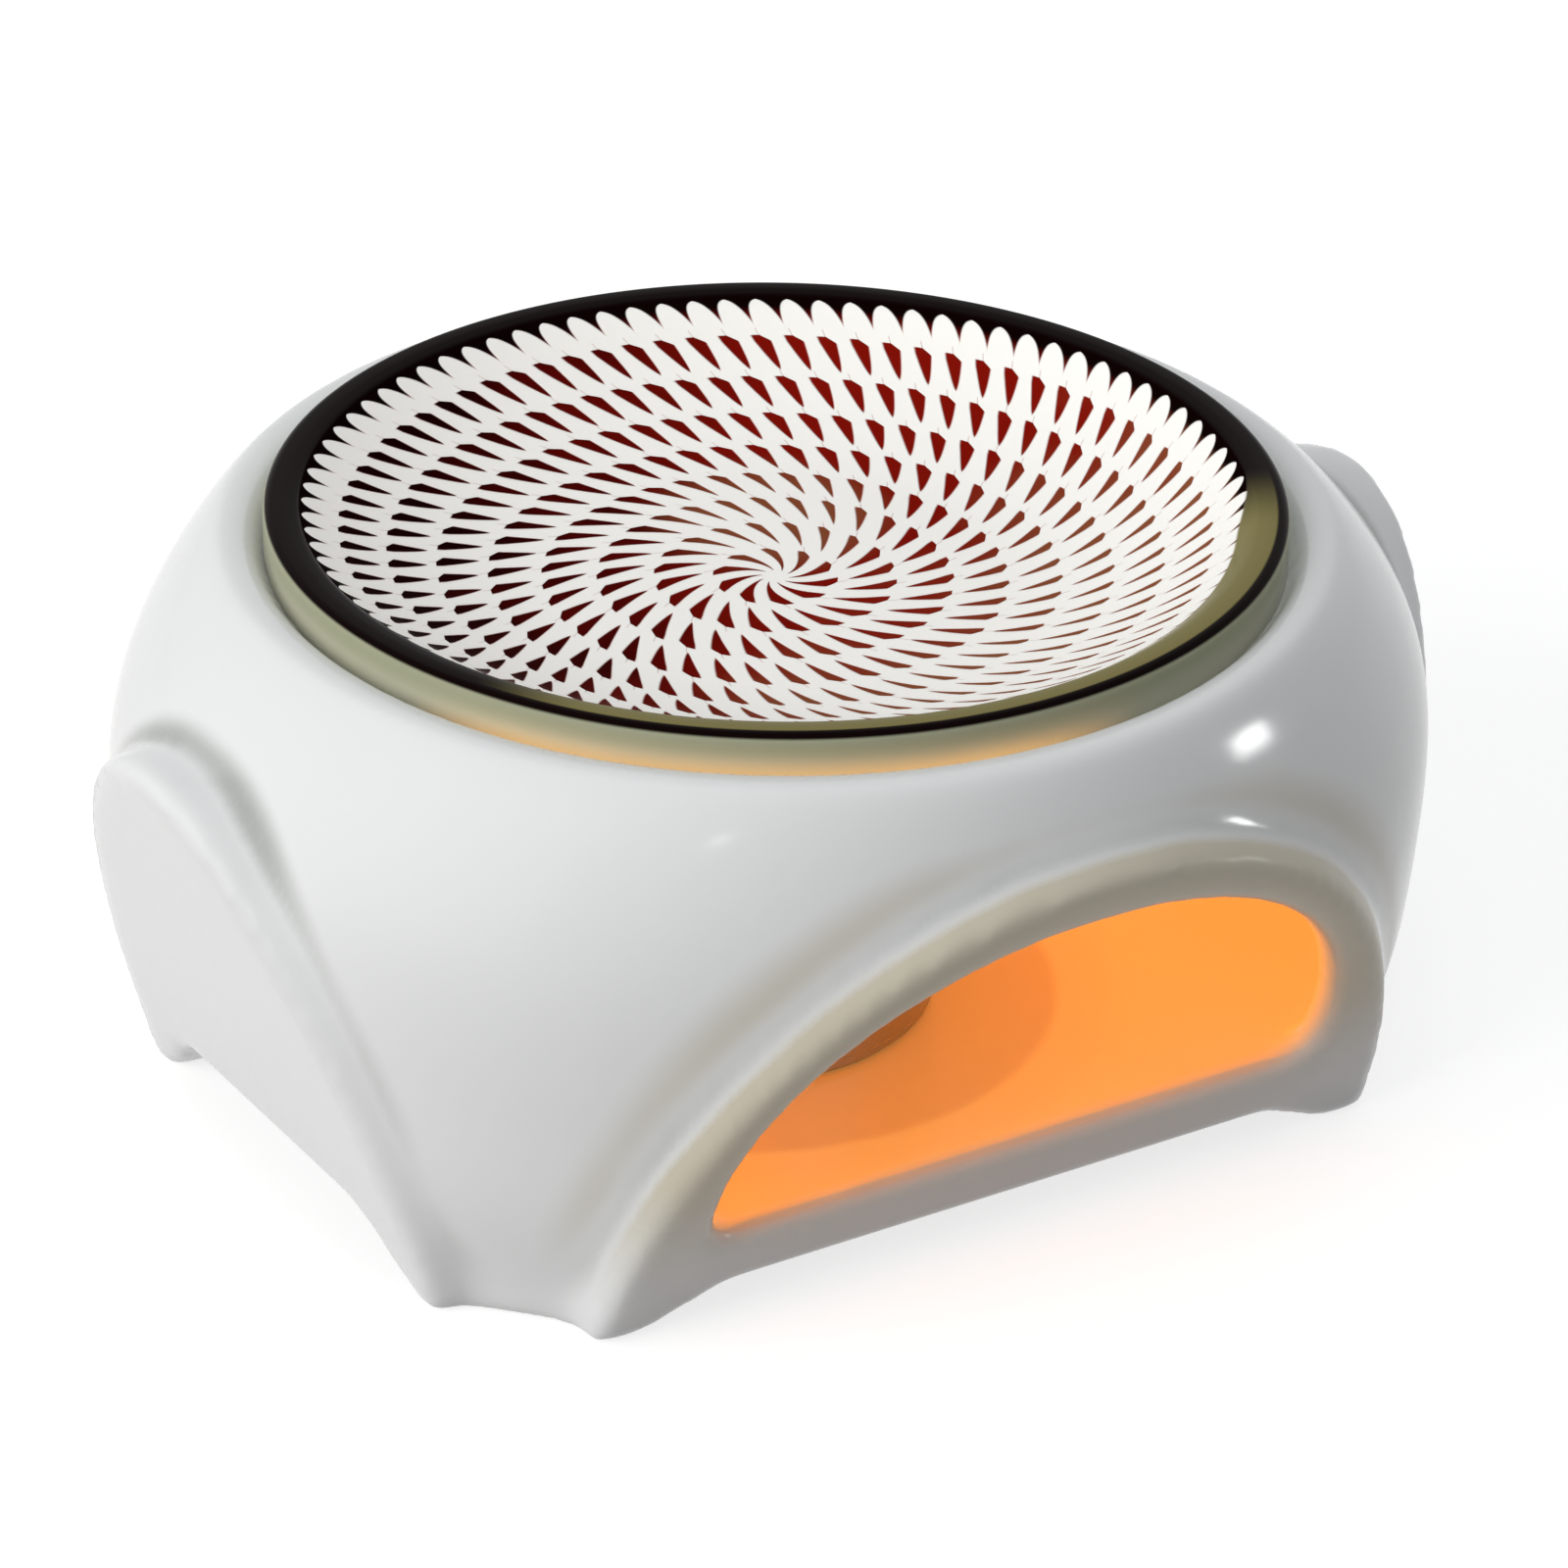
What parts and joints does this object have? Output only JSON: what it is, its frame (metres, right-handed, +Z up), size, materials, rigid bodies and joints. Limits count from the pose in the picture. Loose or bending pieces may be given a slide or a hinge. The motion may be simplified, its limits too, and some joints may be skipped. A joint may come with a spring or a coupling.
{
  "type": "wax melt warmer",
  "caption": "Footed porcelain wax melt warmer: four raised arches, two of them open, a lift-off patterned dish in the mouth and a tealight that slides in on the candle floor",
  "frame": {"origin": "on the ground under the middle of the mouth", "axes": "+Z up, -Y out of the open arch that shows in the picture, +X along the long side, to the right of someone who looks into that arch"},
  "size_m": [0.1254, 0.1098, 0.055],
  "materials": {
    "porcelain": "gloss",
    "patterned_glaze": "gloss",
    "cup_foil": "satin",
    "wax": "satin",
    "tinned_steel": "satin",
    "cotton": "matte"
  },
  "bodies": {
    "warmer": {"warmer_body": "porcelain"},
    "dish": {"dish": "patterned_glaze"},
    "tealight": {"tealight_cup": "cup_foil", "tealight_wax": "wax", "wick_sustainer": "tinned_steel", "wick": "cotton"}
  },
  "joints": [
    {"name": "dish_lift", "type": "slide", "parent": "warmer", "child": "dish", "axis": [0, 0, 1], "range_m": [0, 0.04]},
    {"name": "tealight_slide", "type": "slide", "parent": "warmer", "child": "tealight", "axis": [0, -1, 0], "range_m": [0, 0.065]}
  ]
}
